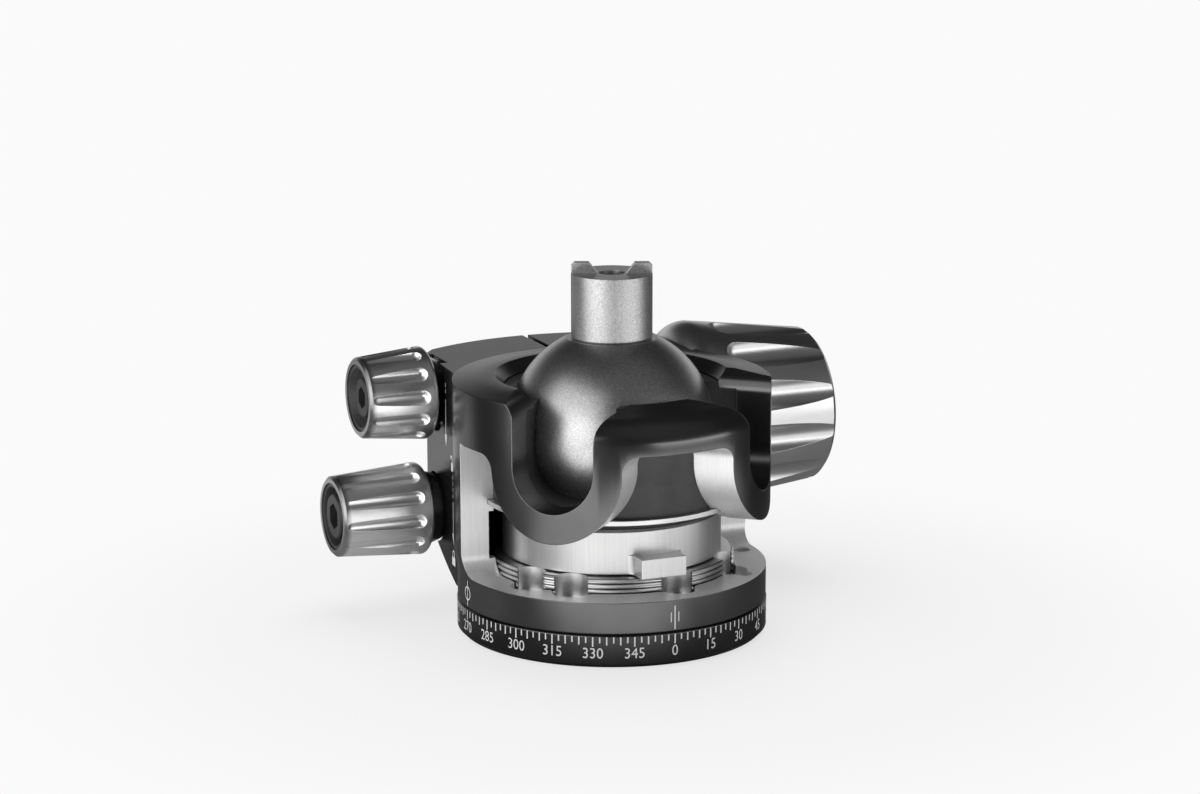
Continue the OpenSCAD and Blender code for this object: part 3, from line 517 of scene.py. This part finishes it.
def scale_ticks_tree(labels):
    """Ticks round the pan base, from the front on, in three lengths."""
    tree, first, last = node_tree("scale_ticks", labels)
    given = first.outputs
    index = added(tree, "GeometryNodeInputIndex").outputs["Index"]
    past_front = calculated(tree, "MULTIPLY", index, given["Step angle"])
    turn = calculated(tree, "SUBTRACT", past_front, math.pi / 2)
    x, y = (calculated(tree, "MULTIPLY", calculated(tree, wave, turn), given["Base radius"])
            for wave in ("COSINE", "SINE"))
    place = vector_of(tree, x, y, given["Top height"])
    points = added(tree, "GeometryNodePoints", {"Count": given["Count"], "Position": place})

    stick = added(tree, "GeometryNodeMeshCube", {
        "Size": vector_of(tree, given["Line rise"], given["Line width"], 1.0)})
    hung = added(tree, "GeometryNodeTransform", {
        "Geometry": stick.outputs["Mesh"], "Translation": (0, 0, -0.5)})

    length = given["Short tick"]
    for every, label in ((MIDDLE_EVERY, "Middle tick"), (LONG_EVERY, "Long tick")):
        is_due = calculated(tree, "LESS_THAN", calculated(tree, "MODULO", index, every), 0.5)
        chosen = added(tree, "GeometryNodeSwitch", {
            "Switch": is_due, "False": length, "True": given[label]}, input_type="FLOAT")
        length = chosen.outputs["Output"]

    laid = added(tree, "GeometryNodeInstanceOnPoints", {
        "Points": points.outputs["Points"], "Instance": hung.outputs["Geometry"],
        "Rotation": vector_of(tree, z=turn), "Scale": vector_of(tree, 1.0, 1.0, length)})
    real = added(tree, "GeometryNodeRealizeInstances", {"Geometry": laid.outputs["Instances"]})
    feed(tree, last.inputs["Marks"], real.outputs["Geometry"])
    return tree


def settled(holder):
    """The plain mesh that an object comes to, in place of the object."""
    shown = holder.evaluated_get(bpy.context.evaluated_depsgraph_get())
    mesh = bpy.data.meshes.new_from_object(shown)
    bpy.data.objects.remove(holder)
    return mesh


def scale_ticks(values):
    """The ticks as a plain mesh, from the tree with its named inputs set."""
    tree = scale_ticks_tree(values)
    holder = new_piece("scale_ticks_holder", bpy.data.meshes.new("scale_ticks_holder"))
    grow = holder.modifiers.new("grow", "NODES")
    grow.node_group = tree
    for socket in tree.interface.items_tree:
        if socket.item_type == "SOCKET" and socket.in_out == "INPUT":
            grow[socket.identifier] = float(values[socket.name])
    mesh = settled(holder)
    mesh.materials.clear()
    mesh.materials.append(print_white)
    finished(new_piece("scale_ticks", mesh), "base")


def on_cylinder(flat, angle, radius, height=0.0):
    """A flat point, across and up, laid on a cylinder in a direction round the body."""
    turn = math.radians(angle) + flat[0] / radius
    return Vector((radius * math.sin(turn), -radius * math.cos(turn), height + flat[1])) * MM


def print_piece(name, work, body):
    """Printed mark from a worked mesh, riding on a body."""
    mesh = bpy.data.meshes.new(name)
    work.to_mesh(mesh)
    work.free()
    mesh.materials.append(print_white)
    finished(new_piece(name, mesh), body)


def numeral_mesh(digits):
    """Flat outline of a number, centred, in millimetres."""
    curve = bpy.data.curves.new("numeral", "FONT")
    curve.body = digits
    curve.size = NUMERAL_HEIGHT / DIGIT_SHARE
    curve.align_x = "CENTER"
    curve.resolution_u = DIGIT_CURVE_STEPS
    curve.space_character = DIGIT_SPACING
    return settled(new_piece("numeral_holder", curve))


def scale_numerals():
    """The numbers of the degree scale, laid round the base."""
    work = bmesh.new()
    for degrees in range(0, 360, NUMERAL_STEP):
        start = len(work.verts)
        work.from_mesh(numeral_mesh(str(degrees)))
        work.verts.ensure_lookup_table()
        for vert in work.verts[start:]:
            flat = (vert.co.x * DIGIT_NARROWING, vert.co.y)
            vert.co = on_cylinder(flat, degrees, BASE_R + PRINT_RISE, NUMERAL_FOOT_Z)
    print_piece("scale_numerals", work, "base")


def body_mark(name, outlines, lay):
    """Printed mark on the body from flat outlines, which a function lays on its surface."""
    work = bmesh.new()
    for outline in outlines:
        work.faces.new([work.verts.new(lay(point)) for point in outline])
    print_piece(name, work, "body")


def bar(x, low, high, width):
    """Outline of an upright line."""
    return [(x - width / 2, low), (x + width / 2, low), (x + width / 2, high), (x - width / 2, high)]


def arc_outlines(centre, outer, inner, sweep, steps):
    """Short outlines along an arc that starts on the right."""
    made = []
    for i in range(steps):
        a, b = (sweep * (i + k) / steps for k in (0, 1))
        made.append([(r * math.cos(t) + centre[0], r * math.sin(t) + centre[1])
                     for r, t in ((inner, a), (outer, a), (outer, b), (inner, b))])
    return made


def on_skirt(angle):
    """Function that lays flat points on the body's skirt in a direction."""
    return lambda point: on_cylinder(point, angle, SKIRT_R + PRINT_RISE)


def on_flank(point):
    """A flat point, back along the left flank and up, laid on the flank's sloping plane."""
    y, z = point
    return Vector((FLANK_X + (y - FLANK_Y) * FLANK_LEAN - PRINT_RISE, y, z)) * MM


def flank_mark(name, outlines):
    """Printed mark on the left flank, its outlines turned over so that they face outwards."""
    body_mark(name, [outline[::-1] for outline in outlines], on_flank)


def arrow(y, top, dash_end, head, tip):
    """Arrow that points down, with a dashed tail."""
    made = []
    z = top
    while z - DASH > dash_end:
        made.append(bar(y, z - DASH, z, DASH_WIDTH))
        z -= DASH_STEP
    made.append(bar(y, head, dash_end, SHAFT_WIDTH))
    made.append([(y + HEAD_WIDTH / 2, head), (y - HEAD_WIDTH / 2, head), (y, tip)])
    return made


def padlock(foot, is_open):
    """Plain padlock sign: a block and a shackle, which stands to one side when it is open."""
    top = foot + LOCK_HEIGHT
    bow = top + SHACKLE_LIFT
    middle = LOCK_Y + (SHACKLE_SHIFT if is_open else 0.0)
    made = [bar(LOCK_Y, foot, top, LOCK_WIDTH)]
    made += arc_outlines((middle, bow), SHACKLE_OUTER_R, SHACKLE_INNER_R, math.pi, steps=8)
    for side in (-1, 1):
        low = top + (SHACKLE_GAP if is_open and side > 0 else 0.0)
        leg = middle + side * (SHACKLE_OUTER_R + SHACKLE_INNER_R) / 2
        made.append(bar(leg, low, bow, SHACKLE_OUTER_R - SHACKLE_INNER_R))
    return made


scale_ticks({
    "Base radius": BASE_R * MM, "Top height": TICK_TOP_Z * MM, "Step angle": math.radians(TICK_STEP),
    "Count": 360 / TICK_STEP, "Line width": TICK_WIDTH * MM, "Line rise": 2 * PRINT_RISE * MM,
    "Long tick": LONG_TICK * MM, "Middle tick": MIDDLE_TICK * MM, "Short tick": SHORT_TICK * MM})
scale_numerals()

front_index = [bar(0, low=6.95, high=11.55, width=0.26)]
front_index += [bar(x, low=8.36, high=10.3, width=0.2) for x in (-0.77, 0.77)]
body_mark("index_front", front_index, on_skirt(0))
left_index = [bar(0, low=6.9, high=11.9, width=0.24)]
left_index += arc_outlines((0, 9.4), outer=1.4, inner=1.14, sweep=2 * math.pi, steps=28)
body_mark("index_left", left_index, on_skirt(-90))

flank_mark("friction_arrow", arrow(21.6, top=45.9, dash_end=42.6, head=35.6, tip=33.1))
flank_mark("lock_arrow", arrow(LOCK_Y, top=28.4, dash_end=23.0, head=16.6, tip=14.5))
flank_mark("lock_open_sign", padlock(foot=29.1, is_open=True))
flank_mark("lock_shut_sign", padlock(foot=10.2, is_open=False))


# Floor, light and camera

CAMERA_TURN = math.radians(-23.206)
CAMERA_RISE = math.radians(13.477)
CAMERA_DISTANCE = 0.644356
CAMERA_TARGET = Vector((0, 0, 0.035))
# The lens in millimetres, with its shift as a share of the sensor's width
SENSOR_WIDTH = 36.0
FOCAL_LENGTH = 100.122
LENS_SHIFT = (-0.009788, 0.043156)
# The floor, a little below the base, and the distances over which it fades, in millimetres
FLOOR_HALF = 6.0
FLOOR_DROP = 0.0002
FLOOR_TONE = 0.93
FLOOR_FADE = (50.0, 140.0)
FLOOR_GLOW_NEAR = 0.75
# Level of the background and the far floor to the camera, and of the light from all round
SEEN_LEVEL = 0.955
SOFT_LEVEL = 0.06
# The table as metal sees it, and its patches of painted light that only reflections see, in millimetres:
# X, Y, radii of the fade, level
TABLE_LEVEL = 0.08
TABLE_GLOW_PATCHES = (
    (-330, -110, 130, 200, 2.2),
    (-100, -85, 40, 70, 1.9),
    (-50, -140, 85, 120, 2.1),
    (130, -180, 100, 170, 1.5),
    (-60, 180, 70, 120, 1.0),
    (-52, 18, 14, 32, 0.34),
)
# The backdrop as metal sees it: tones from the horizon up, and the cosines over which it ends aside
BACKDROP_TONES = ((0.0, 0.85), (0.2, 0.8), (0.36, 0.03), (1.0, 0.02))
BACKDROP_SIDES = (0.9, 0.5)
ASIDE_TONE = 0.03
# Direction of the faint light overhead, in front and to the right, with its fade and its level
OVERHEAD = (0.3, -0.45, 0.84)
OVERHEAD_FADE = (0.3, 0.8)
OVERHEAD_LEVEL = 0.12
PANEL_AIM = Vector((0, 0, 0.04))


def seen_rays(tree):
    """1 for rays that see the background directly, in a reflection or through glass."""
    path = added(tree, "ShaderNodeLightPath").outputs
    total = path["Is Camera Ray"]
    for label in ("Is Glossy Ray", "Is Transmission Ray"):
        total = calculated(tree, "MAXIMUM", total, path[label])
    return total


def pale_to_camera(tree, reflected):
    """Near-white to the camera, and another tone in reflections."""
    path = added(tree, "ShaderNodeLightPath").outputs
    return blended(tree, path["Is Camera Ray"], reflected, SEEN_LEVEL)


def floor_finish():
    """Pale floor: takes the shadow near the object, and fades to the background further out; in
    reflections it is a dim table with glowing patches of painted light.
    """
    made, tree, shader, where = new_finish("floor_pale")
    feed_all(tree, shader, {
        "Base Color": colour(FLOOR_TONE), "Roughness": 0.9, "Specular IOR Level": 0.0})
    # Painted light for reflections: a dim table with bright glowing patches
    table = TABLE_LEVEL
    for x, y, near, far, level in TABLE_GLOW_PATCHES:
        patch = faded(tree, where, (x, y, 0), near, far, level, TABLE_LEVEL)
        table = calculated(tree, "MAXIMUM", table, patch)
    glow = added(tree, "ShaderNodeEmission", {"Color": pale_to_camera(tree, table)})
    glow_share = faded(tree, where, (0, 0, 0), *FLOOR_FADE, FLOOR_GLOW_NEAR, 1.0)
    mixed = added(tree, "ShaderNodeMixShader", {
        0: calculated(tree, "MULTIPLY", seen_rays(tree), glow_share),
        1: shader.outputs["BSDF"], 2: glow.outputs["Emission"]})
    feed(tree, tree.nodes["Material Output"].inputs["Surface"], mixed.outputs["Shader"])
    made.cycles.emission_sampling = "NONE"
    return made


def make_floor():
    mesh = bpy.data.meshes.new("floor")
    corners = [(x * FLOOR_HALF, y * FLOOR_HALF, 0) for x, y in ((-1, -1), (1, -1), (1, 1), (-1, 1))]
    mesh.from_pydata(corners, [], [(0, 1, 2, 3)])
    mesh.materials.append(floor_finish())
    floor = new_piece("floor", mesh)
    floor.location.z = -FLOOR_DROP


def make_world():
    """Near-white to the eye; in reflections a pale backdrop behind, dark overhead and elsewhere."""
    world = bpy.data.worlds.new("studio")
    bpy.context.scene.world = world
    world.use_nodes = True
    world.cycles.sampling_method = "NONE"
    tree = world.node_tree
    soft = tree.nodes["Background"]
    feed_all(tree, soft, {"Color": colour(1.0), "Strength": SOFT_LEVEL})
    towards = added(tree, "ShaderNodeTexCoord").outputs["Generated"]
    backdrop = shades(tree, along(tree, towards, "Z"), BACKDROP_TONES)
    behind = measured(tree, "DOT_PRODUCT", towards, (-math.sin(CAMERA_TURN), math.cos(CAMERA_TURN), 0))
    aside = mapped(tree, behind, *BACKDROP_SIDES, curve="SMOOTHSTEP")
    overhead = faded(tree, towards, OVERHEAD, *OVERHEAD_FADE, OVERHEAD_LEVEL, 0.0)
    studio = calculated(tree, "MAXIMUM", blended(tree, aside, backdrop, ASIDE_TONE), overhead)
    seen = added(tree, "ShaderNodeBackground", {"Color": pale_to_camera(tree, studio), "Strength": 1.0})
    mixed = added(tree, "ShaderNodeMixShader", {
        0: seen_rays(tree), 1: soft.outputs["Background"], 2: seen.outputs["Background"]})
    feed(tree, tree.nodes["World Output"].inputs["Surface"], mixed.outputs["Shader"])


def softbox(name, place, width, height, power, mirrored=True):
    """Soft panel of light; one that isn't mirrored lights without showing in reflections."""
    lamp = bpy.data.lights.new(name, "AREA")
    lamp.shape = "RECTANGLE"
    lamp.size = width
    lamp.size_y = height
    lamp.energy = power
    holder = new_piece(name, lamp)
    holder.visible_glossy = mirrored
    holder.location = place
    holder.rotation_euler = (PANEL_AIM - Vector(place)).to_track_quat("-Z", "Y").to_euler()


def make_camera():
    level = math.cos(CAMERA_RISE)
    away = Vector((math.sin(CAMERA_TURN) * level, -math.cos(CAMERA_TURN) * level, math.sin(CAMERA_RISE)))
    lens = bpy.data.cameras.new("camera")
    lens.sensor_width = SENSOR_WIDTH
    lens.lens = FOCAL_LENGTH
    lens.shift_x, lens.shift_y = LENS_SHIFT
    lens.clip_start = 0.01
    lens.clip_end = 50.0
    camera = new_piece("camera", lens)
    camera.location = CAMERA_TARGET + away * CAMERA_DISTANCE
    camera.rotation_euler = (-away).to_track_quat("-Z", "Y").to_euler()
    bpy.context.scene.camera = camera


make_floor()
make_world()
softbox("left_panel", (-0.61, -0.17, 0.15), width=0.9, height=0.3, power=2.1)
softbox("left_upper_panel", (-0.58, -0.16, 0.5), width=0.9, height=0.36, power=1.2)
softbox("right_panel", (0.38, -0.53, 0.12), width=0.75, height=0.2, power=1.1)
softbox("top_panel", (0.1, 0.2, 0.7), width=0.6, height=0.6, power=3.4, mirrored=False)
make_camera()
bpy.context.scene.view_settings.view_transform = "Standard"
